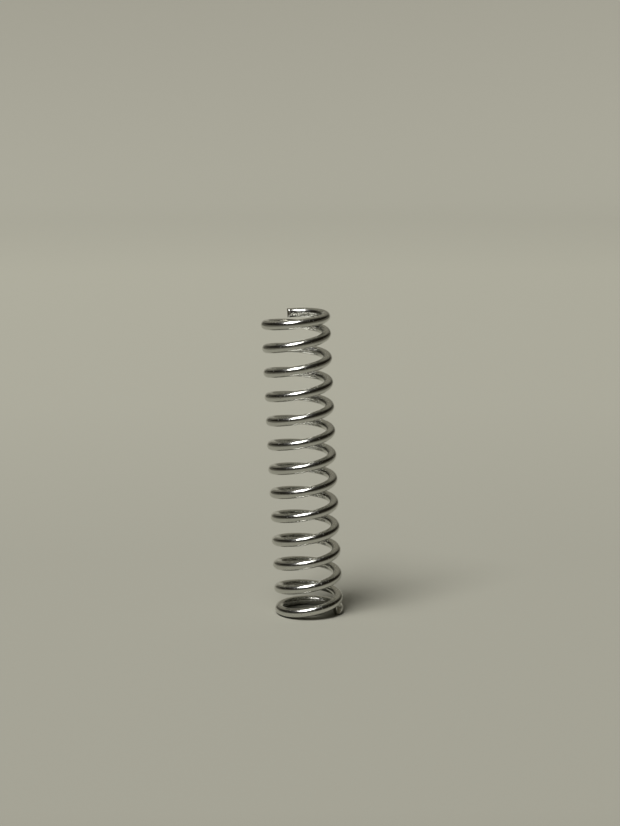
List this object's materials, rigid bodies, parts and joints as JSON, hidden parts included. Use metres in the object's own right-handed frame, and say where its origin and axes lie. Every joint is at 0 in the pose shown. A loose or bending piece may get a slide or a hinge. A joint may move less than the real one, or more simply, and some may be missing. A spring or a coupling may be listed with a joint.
{
  "type": "compression spring",
  "caption": "Small right-hand compression spring of bright round wire, with closed, unground ends and square-sheared wire tips.",
  "frame": {"origin": "on the coil axis, level with the lowest point of the wire", "axes": "+Z along the coil axis, from the end that the spring stands on towards the other. The lower closed turn lies 2.5 degrees out of square with the axis, so the spring at rest on a level surface leans by that much"},
  "size_m": [0.006, 0.006, 0.0268],
  "materials": {
    "wire": "drawn steel wire with bright zinc plate"
  },
  "bodies": {
    "root": {"spring": "wire"}
  },
  "joints": []
}
